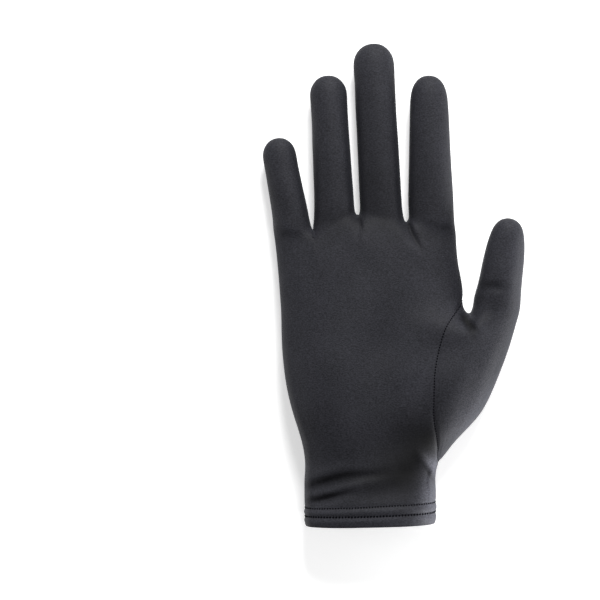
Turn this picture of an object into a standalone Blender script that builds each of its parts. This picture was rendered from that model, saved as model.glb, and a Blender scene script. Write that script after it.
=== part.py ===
"""A knitted glove liner for the right hand, in metres, +Z up.

The glove lies on its back with its palm up, its fingers along +Y and its thumb at +X. It keeps the
form of a hand. The cloth is one smooth surface, worked out from a coarse cage whose sections are
the tables below. The surface is then parted along its seams into panels, and each panel gets the
thickness of the cloth.
"""

import math
from collections import namedtuple

import bmesh
import bpy
import numpy as np
from mathutils import Vector

# Driving sizes of the hand
PALM_WIDTH = 0.0900
PALM_LENGTH = 0.1190
PALM_DEPTH = 0.0300
FINGER_LENGTH = 0.0870
FINGER_WIDTH = 0.0205
FINGER_DEPTH = 0.0165
THUMB_LENGTH = 0.0430
THUMB_WIDTH = 0.0210
THUMB_DEPTH = 0.0190

# Driving sizes of the cuff, below the wrist
CUFF_LENGTH = 0.0211
CUFF_WIDTH = 0.0652
CUFF_DEPTH = 0.0300
HEM_HEIGHT = 0.0094
HEM_SLANT = 0.0015
EDGE_SLANT = 0.0007
HEM_PUFF = 0.0007

# The cloth
WALL = 0.0012
HEM_WALL = 0.0024
SEAM_GAP = 0.0003
MITRE_LIMIT = 0.4

# How the form is made
SMOOTHING_LEVELS = 1
FITTING_ROUNDS = 10
FLATTENING = 0.0009
SHARP_DEGREES = 50

# Panels, in the order of their materials
PALM, BACK, THUMB, HEM = range(4)
Panel = namedtuple("Panel", "name wall colour roughness")
PANELS = (
    Panel("palm_panel", WALL, (0.036, 0.036, 0.041), 0.78),
    Panel("back_panel", WALL, (0.033, 0.033, 0.038), 0.78),
    Panel("thumb_panel", WALL, (0.040, 0.040, 0.045), 0.75),
    Panel("cuff_hem", HEM_WALL, (0.034, 0.034, 0.038), 0.80),
)

# Sections of the palm, from the fingers to the wrist. along is a share of PALM_LENGTH, up from the
# wrist. left, seam and right are shares of PALM_WIDTH, to the right of the hand's axis: seam is
# where the thumb's panel starts, in the sections that it takes part in. depth is a share of
# PALM_DEPTH, and spread is how far the columns of the cage still follow the fingers.
PalmRow = namedtuple("PalmRow", "along left seam right depth spread")
PALM_ROWS = (
    PalmRow(0.950, -0.507, None, 0.496, 0.66, 1.00),
    PalmRow(0.830, -0.490, None, 0.509, 0.76, 0.70),
    PalmRow(0.679, -0.475, None, 0.532, 0.85, 0.40),
    PalmRow(0.585, -0.471, 0.443, 0.831, 0.92, 0.20),
    PalmRow(0.483, -0.467, 0.392, 0.792, 0.97, 0.05),
    PalmRow(0.380, -0.454, 0.363, 0.741, 1.00, 0.00),
    PalmRow(0.279, -0.432, 0.356, 0.682, 1.00, 0.00),
    PalmRow(0.183, -0.399, 0.358, 0.604, 1.00, 0.00),
    PalmRow(0.090, -0.360, 0.382, 0.494, 0.97, 0.00),
    PalmRow(0.000, -0.342, None, 0.400, 0.93, 0.00),
)
CROTCH_ROW = 2
WRIST_ROW = 9

# Sections of the cuff and of its hem. down is the share of the way down each, width is a share of
# CUFF_WIDTH and depth of CUFF_DEPTH. On the thumb's side the hem starts HEM_SLANT higher and ends
# EDGE_SLANT higher, and on the other side as much lower.
CuffRow = namedtuple("CuffRow", "down width depth")
CUFF_ROWS = (
    CuffRow(0.36, 1.00, 0.98),
    CuffRow(0.70, 1.00, 1.00),
    CuffRow(1.00, 1.00, 1.00),
)
HEM_ROWS = (
    CuffRow(0.48, 1.00, 1.00),
    CuffRow(1.00, 0.99, 0.99),
)
CUFF_OFFSET_SHARE = 0.017

# The fingers. left and right are the two sides of the root and tip is the tip, in shares of
# PALM_WIDTH from the hand's axis. low and high are the heights of those two sides, in shares of
# PALM_LENGTH. length is a share of the longest finger's length. neck and top are the widths of the
# shaft near its root and near its end, and end is the width of the rounded end, all in shares of
# the finger's width. lift is how high the tip lies off the floor, as a share of the depth, and
# shaft is the number of sections between. RING_SHARE is how far in from each side of a section its
# inner points lie, and NECK_SHARE is how far from the root the neck lies, in widths of the finger.
Finger = namedtuple("Finger", "name left low right high tip length neck top end depth lift shaft")
FINGERS = (
    Finger("little", -0.517, 0.971, -0.303, 0.974, -0.499, 0.520, 0.88, 0.82, 0.79, 0.92, 0.22, 1),
    Finger("ring", -0.296, 0.974, -0.0535, 1.0315, -0.216, 0.84, 0.96, 0.895, 0.89, 0.97, 0.14, 2),
    Finger("middle", -0.0425, 1.0315, 0.2104, 1.010, 0.034, 1.000, 1.01, 0.985, 0.97, 1.0, 0.10, 3),
    Finger("index", 0.2300, 1.010, 0.4890, 0.992, 0.344, 0.841, 1.09, 0.95, 0.85, 1.0, 0.14, 2),
)
THUMB_FINGER = Finger("thumb", 0.589, 0.6625, 0.850, 0.6417, 0.788, 1.006, 1.06, 0.95, 0.8, 1.0, 0.4, 1)
RING_SHARE = 0.25
NECK_SHARE = 0.40
ROOT_DEPTH_SHARE = 0.60
THUMB_CROTCH = (0.5627, 0.6208)

# Sections of a finger's rounded end. back is how far it lies from the tip, in widths of the finger,
# end is how much of the finger's own end width counts in it, and width and depth are its shares.
EndRow = namedtuple("EndRow", "back end width depth")
END_ROWS = (
    EndRow(0.90, 0.0, 1.00, 0.90),
    EndRow(0.42, 1.0, 1.00, 0.80),
    EndRow(0.13, 1.0, 0.68, 0.55),
)

# Columns of the cage across the palm: four to a finger, then the web and the thumb
COLUMNS = 16
ALL_COLUMNS = 21
EDGE_CROWDING_SHARE = 0.6
MID_SHARE = 0.46
THUMB_COLUMNS_HIGH = (0.0, 0.27, 0.43, 0.60, 0.86, 1.0)
THUMB_COLUMNS_LOW = (0.0, 0.20, 0.40, 0.62, 0.84, 1.0)
CROTCH_DIPS = (0.0, -0.022, -0.008, 0.0, 0.0, 0.0)

# How full the body's sections are: a power of the way across, then a root of what is left
FRONT_FULLNESS = (2.6, 2.3)
BACK_FULLNESS = (3.0, 2.4)

# Mounds and dents of the palm's side and the back's. across and along are shares of PALM_WIDTH and
# PALM_LENGTH, turn is in degrees, long and wide are shares of PALM_WIDTH, and rise is a share of
# PALM_DEPTH, negative in a dent. side is 1 on the palm and -1 on the back. FADING is how fast a
# fold fades: at its full length or width it has e to the power of minus FADING left.
FADING = 2.0
Fold = namedtuple("Fold", "name side across along turn long wide rise")
FOLDS = (
    Fold("thenar mound", 1, 0.47, 0.30, 60, 0.34, 0.22, 0.10),
    Fold("heel mound", 1, -0.24, 0.28, 80, 0.36, 0.18, 0.06),
    Fold("hollow of the palm", 1, 0.08, 0.50, 70, 0.34, 0.20, -0.10),
    Fold("slope above the wrist", 1, 0.20, -0.03, 10, 0.26, 0.17, -0.13),
    Fold("wrist hollow", 1, 0.02, -0.12, 3, 0.42, 0.11, -0.07),
    Fold("crease under the thumb", 1, 0.538, 0.586, -50, 0.09, 0.035, -0.06),
    Fold("thumb joint", 1, 0.68, 0.725, 2, 0.12, 0.04, -0.02),
    Fold("dent under the index", 1, 0.24, 0.945, -60, 0.09, 0.04, -0.06),
    Fold("dent under the ring", 1, -0.05, 0.98, 88, 0.08, 0.03, -0.03),
    Fold("high wrist crescent", 1, -0.18, -0.085, 15, 0.24, 0.05, -0.07),
    Fold("low wrist crescent", 1, -0.24, -0.16, 14, 0.16, 0.04, -0.05),
)


def clear_scene():
    for item in list(bpy.data.objects):
        bpy.data.objects.remove(item, do_unlink=True)


def blend(first, last, share):
    return first + (last - first) * share


def fullness(across, power):
    """The height of a closed section at a place across it, 0 at its edges and 1 in its middle."""
    outer, inner = power
    return max(0.0, 1.0 - abs(across) ** outer) ** (1.0 / inner)


class Cage:
    """Named points of the cage, and its faces with the panel that each belongs to."""

    def __init__(self):
        self.index = {}
        self.points = []
        self.faces = []
        self.panels = []

    def point(self, key, place):
        self.index[key] = len(self.points)
        self.points.append(place)

    def face(self, keys, panel):
        self.faces.append([self.index[key] for key in keys])
        self.panels.append(panel)

    def strip(self, upper, lower, side, panel):
        """Quads, or triangles where a row ends in one point, between two rows of named points."""
        for step in range(max(len(upper), len(lower)) - 1):
            corners = [
                upper[min(step, len(upper) - 1)],
                upper[min(step + 1, len(upper) - 1)],
                lower[min(step + 1, len(lower) - 1)],
                lower[min(step, len(lower) - 1)],
            ]
            keys = [key for place, key in enumerate(corners) if key != corners[place - 1]]
            self.face(keys if side < 0 else keys[::-1], panel)


def column_shares():
    """Where each palm column lies between the palm's edges at the knuckles, and how high."""
    first, last = FINGERS[0].left, FINGERS[-1].right
    shares, heights = [], []
    for finger in FINGERS:
        for inner in (0.0, RING_SHARE, 1 - RING_SHARE, 1.0):
            across = blend(finger.left, finger.right, inner)
            shares.append((across - first) / (last - first))
            heights.append(blend(finger.low, finger.high, inner) - 1.0)
    return shares, heights


def even_share(column):
    """Where a palm column lies further down, where the columns are even but for the edges."""
    share = column / (COLUMNS - 1)
    return share - EDGE_CROWDING_SHARE * math.sin(2 * math.pi * share) / (2 * math.pi)


def row_key(row, column, side):
    """An edge point belongs to both sides. The thumb's panel moves the edge outwards."""
    has_thumb = CROTCH_ROW < row < WRIST_ROW
    edge = ALL_COLUMNS - 1 if has_thumb else COLUMNS - 1
    return ("body", row, column, 0 if column in (0, edge) else side)


def add_section(cage, row, places, left, right, depth):
    """Adds one section of the body: places are (column, x, y), and the depth follows from x."""
    centre, half = (left + right) / 2, (right - left) / 2
    for column, x, y in places:
        across = min(1.0, max(-1.0, (x - centre) / half))
        front = depth * (1 - MID_SHARE) * fullness(across, FRONT_FULLNESS)
        back = (depth * MID_SHARE + FLATTENING) * fullness(across, BACK_FULLNESS)
        for side, height in ((1, front), (-1, -back)):
            key = row_key(row, column, side)
            if key not in cage.index:
                rise = height if key[3] else 0.0
                cage.point(key, (x, y, depth * MID_SHARE + rise))


def add_palm(cage):
    shares, heights = column_shares()
    for number, row in enumerate(PALM_ROWS):
        left = row.left * PALM_WIDTH
        right = row.right * PALM_WIDTH
        stop = right if row.seam is None else row.seam * PALM_WIDTH
        places = []
        for column in range(COLUMNS):
            share = blend(even_share(column), shares[column], row.spread)
            height = (row.along + heights[column] * row.spread) * PALM_LENGTH
            places.append((column, blend(left, stop, share), height))
        if row.seam is not None:
            first = number == CROTCH_ROW + 1
            spacing = THUMB_COLUMNS_HIGH if first else THUMB_COLUMNS_LOW
            for step, share in enumerate(spacing[1:], 1):
                height = row.along + (CROTCH_DIPS[step] if first else 0.0)
                x = blend(stop, right, share)
                places.append((COLUMNS - 1 + step, x, height * PALM_LENGTH))
        add_section(cage, number, places, left, right, row.depth * PALM_DEPTH)


def hem_place(across, down):
    """How far below the wrist a share of the way down the hem lies, from -1 to 1 across it."""
    top = CUFF_LENGTH - HEM_SLANT * across
    return blend(top, CUFF_LENGTH + HEM_HEIGHT - EDGE_SLANT * across, down)


def cuff_height(number, across):
    """The height of one of the sections below the wrist, at a place across the cuff."""
    if number < len(CUFF_ROWS):
        return -CUFF_ROWS[number].down * hem_place(across, 0.0)
    return -hem_place(across, HEM_ROWS[number - len(CUFF_ROWS)].down)


def add_cuff(cage):
    centre = CUFF_OFFSET_SHARE * PALM_WIDTH
    for number, row in enumerate(CUFF_ROWS + HEM_ROWS):
        half = row.width * CUFF_WIDTH / 2
        places = []
        for column in range(COLUMNS):
            across = 2 * even_share(column) - 1
            places.append((column, centre + across * half, cuff_height(number, across)))
        depth = row.depth * CUFF_DEPTH
        add_section(cage, WRIST_ROW + 1 + number, places, centre - half, centre + half, depth)


def add_ring(cage, name, row, left, right, middle, half_depth):
    """A finger's section: both sides at mid depth, two points on its front and two on its back."""
    near, far = RING_SHARE, 1 - RING_SHARE
    sides = ((0.0, 0), (near, 1), (far, 1), (1.0, 0), (far, -1), (near, -1))
    for step, (share, side) in enumerate(sides):
        x, y = blend(left[0], right[0], share), blend(left[1], right[1], share)
        rise = side * math.sqrt(1 - (far - near) ** 2) * half_depth
        cage.point((name, row, step), (x, y, middle + rise))


def add_finger(cage, finger, length, width, depth, root_middle, root_depth):
    """Adds the sections of one finger, from its root to its tip, and returns their number."""
    left = np.array((finger.left * PALM_WIDTH, finger.low * PALM_LENGTH))
    right = np.array((finger.right * PALM_WIDTH, finger.high * PALM_LENGTH))
    root = (left + right) / 2
    tip = np.array((finger.tip * PALM_WIDTH, root[1] + finger.length * length))
    axis = tip - root
    reach = np.linalg.norm(axis)
    axis = axis / reach
    across = np.array((axis[1], -axis[0]))
    top_width = finger.top * width
    lifted = finger.lift * depth
    full_depth = finger.depth * depth

    add_ring(cage, finger.name, 0, left, right, root_middle, root_depth / 2)
    first = NECK_SHARE * width
    straight = reach - END_ROWS[0].back * top_width
    sections = []
    for step in range(finger.shaft + 1):
        share = step / (finger.shaft + 1)
        size = blend(finger.neck * width, top_width, share)
        sections.append((blend(first, straight, share), size, 1.0))
    for row in END_ROWS:
        size = blend(top_width, finger.end * width, row.end) * row.width
        sections.append((reach - row.back * top_width, size, row.depth))
    for number, (distance, size, depth_share) in enumerate(sections, 1):
        share = distance / reach
        centre = root + axis * distance
        middle = blend(root_middle, lifted + full_depth / 2 * END_ROWS[1].depth, share)
        half = blend(root_depth, full_depth, share) * depth_share / 2
        ends = (centre - across * size / 2, centre + across * size / 2)
        add_ring(cage, finger.name, number, *ends, middle, half)
    cage.point((finger.name, "tip"), (tip[0], tip[1], middle))
    return len(sections)


def ring_side(name, row, side):
    """A finger's section from its left to its right side, over its front or its back."""
    return [(name, row, step) for step in ((0, 1, 2, 3) if side > 0 else (0, 5, 4, 3))]


def join_finger(cage, name, sections, panels):
    for side, panel in ((1, panels[0]), (-1, panels[1])):
        for row in range(sections):
            upper, lower = ring_side(name, row + 1, side), ring_side(name, row, side)
            cage.strip(upper, lower, side, panel)
        cage.strip([(name, "tip")], ring_side(name, sections, side), side, panel)


def join_body(cage):
    """The faces of the palm, the back, the thumb's base and the cuff."""
    rows = WRIST_ROW + 1 + len(CUFF_ROWS) + len(HEM_ROWS)
    hem_row = WRIST_ROW + len(CUFF_ROWS)
    for side, cloth in ((1, PALM), (-1, BACK)):
        for row in range(rows - 1):
            panel = HEM if row >= hem_row else cloth
            upper = [row_key(row, column, side) for column in range(COLUMNS)]
            lower = [row_key(row + 1, column, side) for column in range(COLUMNS)]
            cage.strip(upper, lower, side, panel)
        for row in range(CROTCH_ROW + 1, WRIST_ROW):
            upper = [row_key(row, column, side) for column in range(COLUMNS - 1, ALL_COLUMNS)]
            lower = [row_key(row + 1, column, side) for column in range(COLUMNS - 1, ALL_COLUMNS)]
            if row == WRIST_ROW - 1:
                lower = lower[:1]
            cage.strip(upper, lower, side, THUMB)


def join_roots(cage):
    """The faces between the fingers' roots and the knuckles, and those of the thumb's crotch."""
    for side, cloth in ((1, PALM), (-1, BACK)):
        upper = [key for finger in FINGERS for key in ring_side(finger.name, 0, side)]
        lower = [row_key(0, column, side) for column in range(COLUMNS)]
        cage.strip(upper, lower, side, cloth)
        crotch = [row_key(CROTCH_ROW, COLUMNS - 1, side), ("crotch",)]
        upper = crotch + ring_side(THUMB_FINGER.name, 0, side)
        lower = [
            row_key(CROTCH_ROW + 1, column, side) for column in range(COLUMNS - 1, ALL_COLUMNS)
        ]
        cage.strip(upper, lower, side, THUMB)


def build_cage():
    cage = Cage()
    add_palm(cage)
    add_cuff(cage)
    knuckle_depth = PALM_ROWS[0].depth * PALM_DEPTH
    counts = {}
    for finger in FINGERS:
        counts[finger.name] = add_finger(
            cage,
            finger,
            FINGER_LENGTH,
            FINGER_WIDTH,
            FINGER_DEPTH,
            knuckle_depth * MID_SHARE,
            blend(FINGER_DEPTH, knuckle_depth, ROOT_DEPTH_SHARE),
        )
    crotch_depth = PALM_ROWS[CROTCH_ROW].depth * PALM_DEPTH
    counts[THUMB_FINGER.name] = add_finger(
        cage,
        THUMB_FINGER,
        THUMB_LENGTH,
        THUMB_WIDTH,
        THUMB_DEPTH,
        crotch_depth * MID_SHARE,
        blend(THUMB_DEPTH, crotch_depth, ROOT_DEPTH_SHARE),
    )
    across, along = THUMB_CROTCH
    place = (across * PALM_WIDTH, along * PALM_LENGTH, crotch_depth * MID_SHARE)
    cage.point(("crotch",), place)
    join_body(cage)
    join_roots(cage)
    for finger in FINGERS:
        join_finger(cage, finger.name, counts[finger.name], (PALM, BACK))
    join_finger(cage, THUMB_FINGER.name, counts[THUMB_FINGER.name], (THUMB, THUMB))
    return cage


def smooth_form(cage):
    """The smooth surface through the cage's points, as a mesh whose materials are the panels."""
    mesh = bpy.data.meshes.new("form")
    mesh.from_pydata(cage.points, [], cage.faces)
    for panel in PANELS:
        mesh.materials.append(bpy.data.materials.new(panel.name + "_form"))
    mesh.polygons.foreach_set("material_index", cage.panels)
    form = bpy.data.objects.new("form", mesh)
    bpy.context.scene.collection.objects.link(form)
    smoothing = form.modifiers.new("smoothing", "SUBSURF")
    smoothing.levels = SMOOTHING_LEVELS
    smoothing.render_levels = SMOOTHING_LEVELS
    smoothing.use_limit_surface = True

    wanted = np.array(cage.points)
    corners = wanted.copy()
    for _ in range(FITTING_ROUNDS):
        made = bpy.data.meshes.new_from_object(
            form.evaluated_get(bpy.context.evaluated_depsgraph_get())
        )
        reached = points_of(made)[: len(wanted)]
        bpy.data.meshes.remove(made)
        corners += wanted - reached
        mesh.vertices.foreach_set("co", corners.ravel())
        mesh.update()
    made = bpy.data.meshes.new_from_object(
        form.evaluated_get(bpy.context.evaluated_depsgraph_get())
    )
    bpy.data.objects.remove(form)
    return made


def points_of(mesh):
    places = np.empty(len(mesh.vertices) * 3)
    mesh.vertices.foreach_get("co", places)
    return places.reshape(-1, 3)


def normals_of(mesh):
    normals = np.empty(len(mesh.vertices) * 3)
    mesh.vertices.foreach_get("normal", normals)
    return normals.reshape(-1, 3)


def fold_cloth(mesh):
    """Raises the mounds, sinks the dents and puffs the hem, then flattens what rests on the floor."""
    places, normals = points_of(mesh), normals_of(mesh)
    rise = np.zeros(len(places))
    for fold in FOLDS:
        turn = math.radians(fold.turn)
        x = places[:, 0] - fold.across * PALM_WIDTH
        y = places[:, 1] - fold.along * PALM_LENGTH
        run = (x * math.cos(turn) + y * math.sin(turn)) / (fold.long * PALM_WIDTH)
        side = (y * math.cos(turn) - x * math.sin(turn)) / (fold.wide * PALM_WIDTH)
        facing = np.clip(fold.side * normals[:, 2], 0, 1)
        rise += fold.rise * PALM_DEPTH * facing * np.exp(-FADING * (run**2 + side**2))
    across = (places[:, 0] - CUFF_OFFSET_SHARE * PALM_WIDTH) / (CUFF_WIDTH / 2)
    top, bottom = hem_place(across, 0.0), hem_place(across, 1.0)
    down = np.clip((-places[:, 1] - top) / (bottom - top), 0, 1)
    rise += HEM_PUFF * np.sin(2 * math.pi * down) ** 2
    places += normals * rise[:, None]
    places[:, 2] = np.maximum(places[:, 2], 0.0)
    mesh.vertices.foreach_set("co", places.ravel())
    mesh.update()


def centre_form(mesh):
    """Puts the middle of the glove's outline at the origin."""
    places = points_of(mesh)
    middle = (places.min(axis=0) + places.max(axis=0)) / 2
    places[:, :2] -= middle[:2]
    mesh.vertices.foreach_set("co", places.ravel())
    mesh.update()


def seam_shifts(form, faces):
    """How each point on a panel's edge moves inwards along the cloth, to leave the seam's gap."""
    edges = {}
    for face in faces:
        corners = list(face.vertices)
        for start, end in zip(corners, corners[1:] + corners[:1]):
            edges.setdefault(frozenset((start, end)), []).append((start, end, face))
    inwards = {}
    for users in edges.values():
        if len(users) > 1:
            continue
        start, end, face = users[0]
        run = form.vertices[end].co - form.vertices[start].co
        inward = face.normal.cross(run).normalized()
        inwards.setdefault(start, []).append(inward)
        inwards.setdefault(end, []).append(inward)
    shifts = {}
    for vertex, (first, last) in inwards.items():
        mitre = max(MITRE_LIMIT, 1 + first.dot(last))
        shifts[vertex] = (first + last) * (SEAM_GAP / 2 / mitre)
    return shifts


def build_panel(form, number, collection):
    """One panel of the form, with its wall inside the form's surface."""
    panel = PANELS[number]
    faces = [face for face in form.polygons if face.material_index == number]
    shifts = seam_shifts(form, faces)
    mesh = bmesh.new()
    layers = []
    for depth in (0.0, panel.wall):
        layer = {}
        for vertex in sorted({vertex for face in faces for vertex in face.vertices}):
            source = form.vertices[vertex]
            place = source.co - source.normal * depth + shifts.get(vertex, Vector())
            place.z = max(place.z, depth)
            layer[vertex] = mesh.verts.new(place)
        layers.append(layer)
    outer, inner = layers
    for face in faces:
        mesh.faces.new([outer[vertex] for vertex in face.vertices])
        mesh.faces.new([inner[vertex] for vertex in reversed(face.vertices)])
    back_of = {inner_vertex: outer[vertex] for vertex, inner_vertex in inner.items()}
    for edge in [edge for edge in mesh.edges if edge.is_boundary]:
        loop = edge.link_loops[0]
        start, end = loop.vert, loop.link_loop_next.vert
        if start in back_of:
            mesh.faces.new((end, start, back_of[start], back_of[end]))
    data = bpy.data.meshes.new(panel.name)
    mesh.to_mesh(data)
    mesh.free()
    data.materials.append(cloth_material(panel))
    data.shade_smooth()
    data.set_sharp_from_angle(angle=math.radians(SHARP_DEGREES))
    collection.objects.link(bpy.data.objects.new(panel.name, data))


def cloth_material(panel):
    material = bpy.data.materials.new(panel.name + "_knit")
    material.use_nodes = True
    shader = material.node_tree.nodes["Principled BSDF"]
    shader.inputs["Base Color"].default_value = (*panel.colour, 1.0)
    shader.inputs["Roughness"].default_value = panel.roughness
    shader.inputs["Metallic"].default_value = 0.0
    return material


def main():
    clear_scene()
    collection = bpy.data.collections.new("glove_liner")
    bpy.context.scene.collection.children.link(collection)
    form = smooth_form(build_cage())
    fold_cloth(form)
    centre_form(form)
    for number in range(len(PANELS)):
        build_panel(form, number, collection)
    bpy.data.meshes.remove(form)


main()
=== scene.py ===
"""Looks of the knitted glove liner: its cloth, folds, seams and stitches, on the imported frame."""

import math
from collections import namedtuple

import bmesh
import bpy
import numpy as np
from mathutils import Matrix, Vector, noise
from mathutils.bvhtree import BVHTree
from mathutils.kdtree import KDTree


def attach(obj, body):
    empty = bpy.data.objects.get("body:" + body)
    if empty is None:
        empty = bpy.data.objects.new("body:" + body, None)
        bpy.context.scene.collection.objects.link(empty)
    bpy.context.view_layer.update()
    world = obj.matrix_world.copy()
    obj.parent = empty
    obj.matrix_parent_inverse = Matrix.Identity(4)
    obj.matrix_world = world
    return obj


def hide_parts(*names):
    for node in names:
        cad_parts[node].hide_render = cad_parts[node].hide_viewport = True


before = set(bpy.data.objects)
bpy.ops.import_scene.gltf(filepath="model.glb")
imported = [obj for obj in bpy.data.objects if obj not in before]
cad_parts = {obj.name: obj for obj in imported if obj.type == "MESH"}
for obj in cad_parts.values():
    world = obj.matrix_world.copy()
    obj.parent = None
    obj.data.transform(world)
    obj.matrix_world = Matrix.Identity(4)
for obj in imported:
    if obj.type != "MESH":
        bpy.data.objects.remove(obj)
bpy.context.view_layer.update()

# Driving sizes of the hand
PALM_WIDTH = 0.0900
PALM_LENGTH = 0.1190
PALM_DEPTH = 0.0300
FINGER_LENGTH = 0.0870
FINGER_WIDTH = 0.0205
FINGER_DEPTH = 0.0165
THUMB_LENGTH = 0.0430
THUMB_WIDTH = 0.0210
THUMB_DEPTH = 0.0190

# Driving sizes of the cuff, below the wrist
CUFF_LENGTH = 0.0211
CUFF_WIDTH = 0.0652
CUFF_DEPTH = 0.0300
HEM_HEIGHT = 0.0094
HEM_SLANT = 0.0015
EDGE_SLANT = 0.0007
HEM_PUFF = 0.0003

# The cloth
WALL = 0.0012
HEM_WALL = 0.0024

# How the form is made
SMOOTHING_LEVELS = 1
FITTING_ROUNDS = 10
FLATTENING = 0.0009
SHARP_DEGREES = 50

# Panels of the cloth: piece is the panel's name here, and name is that of the node it replaces
PALM, BACK, THUMB, HEM = range(4)
Panel = namedtuple("Panel", "name wall piece slot")
PANELS = (
    Panel("palm_panel", WALL, "palm_front", "palm_knit"),
    Panel("back_panel", WALL, "palm_back", "back_knit"),
    Panel("thumb_panel", WALL, "thumb_cloth", "thumb_knit"),
    Panel("cuff_hem", HEM_WALL, "hem_band", "hem_knit"),
)

# Sections of the palm, from the fingers to the wrist. along is a share of PALM_LENGTH, up from the
# wrist. left, seam and right are shares of PALM_WIDTH, to the right of the hand's axis: seam is
# where the thumb's panel starts, in the sections that it takes part in. depth is a share of
# PALM_DEPTH, and spread is how far the columns of the cage still follow the fingers.
PalmRow = namedtuple("PalmRow", "along left seam right depth spread")
PALM_ROWS = (
    PalmRow(0.950, -0.507, None, 0.496, 0.66, 1.00),
    PalmRow(0.830, -0.490, None, 0.509, 0.76, 0.70),
    PalmRow(0.679, -0.475, None, 0.532, 0.85, 0.40),
    PalmRow(0.585, -0.471, 0.443, 0.831, 0.92, 0.20),
    PalmRow(0.483, -0.467, 0.392, 0.792, 0.97, 0.05),
    PalmRow(0.380, -0.454, 0.363, 0.741, 1.00, 0.00),
    PalmRow(0.279, -0.432, 0.356, 0.682, 1.00, 0.00),
    PalmRow(0.183, -0.399, 0.358, 0.604, 1.00, 0.00),
    PalmRow(0.090, -0.360, 0.382, 0.494, 0.97, 0.00),
    PalmRow(0.000, -0.342, None, 0.400, 0.93, 0.00),
)
CROTCH_ROW = 2
WRIST_ROW = 9

# Sections of the cuff and of its hem. down is the share of the way down each, width is a share of
# CUFF_WIDTH and depth of CUFF_DEPTH. On the thumb's side the hem starts HEM_SLANT higher and ends
# EDGE_SLANT higher, and on the other side as much lower.
CuffRow = namedtuple("CuffRow", "down width depth")
CUFF_ROWS = (
    CuffRow(0.36, 1.00, 0.98),
    CuffRow(0.70, 1.00, 1.00),
    CuffRow(1.00, 1.00, 1.00),
)
HEM_ROWS = (
    CuffRow(0.48, 1.00, 1.00),
    CuffRow(1.00, 0.99, 0.99),
)
CUFF_OFFSET_SHARE = 0.017

# The fingers. left and right are the two sides of the root and tip is the tip, in shares of
# PALM_WIDTH from the hand's axis. low and high are the heights of those two sides, in shares of
# PALM_LENGTH. length is a share of the longest finger's length. neck and top are the widths of the
# shaft near its root and near its end, and end is the width of the rounded end, all in shares of
# the finger's width. lift is how high the tip lies off the floor, as a share of the depth, and
# shaft is the number of sections between. RING_SHARE is how far in from each side of a section its
# inner points lie, and NECK_SHARE is how far from the root the neck lies, in widths of the finger.
Finger = namedtuple("Finger", "name left low right high tip length neck top end depth lift shaft")
FINGERS = (
    Finger("little", -0.517, 0.971, -0.303, 0.974, -0.499, 0.520, 0.88, 0.82, 0.79, 0.92, 0.22, 1),
    Finger("ring", -0.296, 0.974, -0.0535, 1.0315, -0.216, 0.84, 0.96, 0.895, 0.89, 0.97, 0.14, 2),
    Finger("middle", -0.0425, 1.0315, 0.2104, 1.010, 0.034, 1.000, 1.01, 0.985, 0.97, 1.0, 0.10, 3),
    Finger("index", 0.2300, 1.010, 0.4890, 0.992, 0.344, 0.841, 1.09, 0.95, 0.85, 1.0, 0.14, 2),
)
THUMB_FINGER = Finger(
    "thumb", 0.589, 0.6625, 0.850, 0.6417, 0.788, 1.006, 1.06, 0.95, 0.8, 1.0, 0.4, 1
)
RING_SHARE = 0.25
NECK_SHARE = 0.40
ROOT_DEPTH_SHARE = 0.60
THUMB_CROTCH = (0.5627, 0.6208)

# Sections of a finger's rounded end. back is how far it lies from the tip, in widths of the finger,
# end is how much of the finger's own end width counts in it, and width and depth are its shares.
EndRow = namedtuple("EndRow", "back end width depth")
END_ROWS = (
    EndRow(0.90, 0.0, 1.00, 0.90),
    EndRow(0.42, 1.0, 1.00, 0.80),
    EndRow(0.13, 1.0, 0.68, 0.55),
)

# Columns of the cage across the palm: four to a finger, then the web and the thumb
COLUMNS = 16
ALL_COLUMNS = 21
EDGE_CROWDING_SHARE = 0.6
MID_SHARE = 0.46
THUMB_COLUMNS_HIGH = (0.0, 0.27, 0.43, 0.60, 0.86, 1.0)
THUMB_COLUMNS_LOW = (0.0, 0.20, 0.40, 0.62, 0.84, 1.0)
CROTCH_DIPS = (0.0, -0.022, -0.008, 0.0, 0.0, 0.0)

# How full the body's sections are: a power of the way across, then a root of what is left
FRONT_FULLNESS = (2.6, 2.3)
BACK_FULLNESS = (3.0, 2.4)

# Mounds and dents of the palm's side and the back's. across and along are shares of PALM_WIDTH and
# PALM_LENGTH, turn is in degrees, long and wide are shares of PALM_WIDTH, and rise is a share of
# PALM_DEPTH, negative in a dent. side is 1 on the palm and -1 on the back. FADING is how fast a
# fold fades: at its full length or width it has e to the power of minus FADING left.
FADING = 2.0
Fold = namedtuple("Fold", "name side across along turn long wide rise")
FOLDS = (
    Fold("thenar mound", 1, 0.47, 0.30, 60, 0.34, 0.22, 0.10),
    Fold("heel mound", 1, -0.24, 0.28, 80, 0.36, 0.18, 0.06),
    Fold("hollow of the palm", 1, 0.08, 0.50, 70, 0.34, 0.20, -0.10),
    Fold("slope above the wrist", 1, 0.20, -0.03, 10, 0.26, 0.17, -0.13),
    Fold("wrist hollow", 1, 0.02, -0.12, 3, 0.42, 0.11, -0.07),
    Fold("crease under the thumb", 1, 0.538, 0.586, -50, 0.09, 0.035, -0.06),
    Fold("thumb joint", 1, 0.68, 0.725, 2, 0.12, 0.04, -0.02),
    Fold("dent under the index", 1, 0.24, 0.945, -60, 0.09, 0.04, -0.06),
    Fold("dent under the ring", 1, -0.05, 0.98, 88, 0.08, 0.03, -0.03),
    Fold("high wrist crescent", 1, -0.18, -0.085, 15, 0.24, 0.05, -0.07),
    Fold("low wrist crescent", 1, -0.24, -0.16, 14, 0.16, 0.04, -0.05),
)


def blend(first, last, share):
    return first + (last - first) * share


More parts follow.
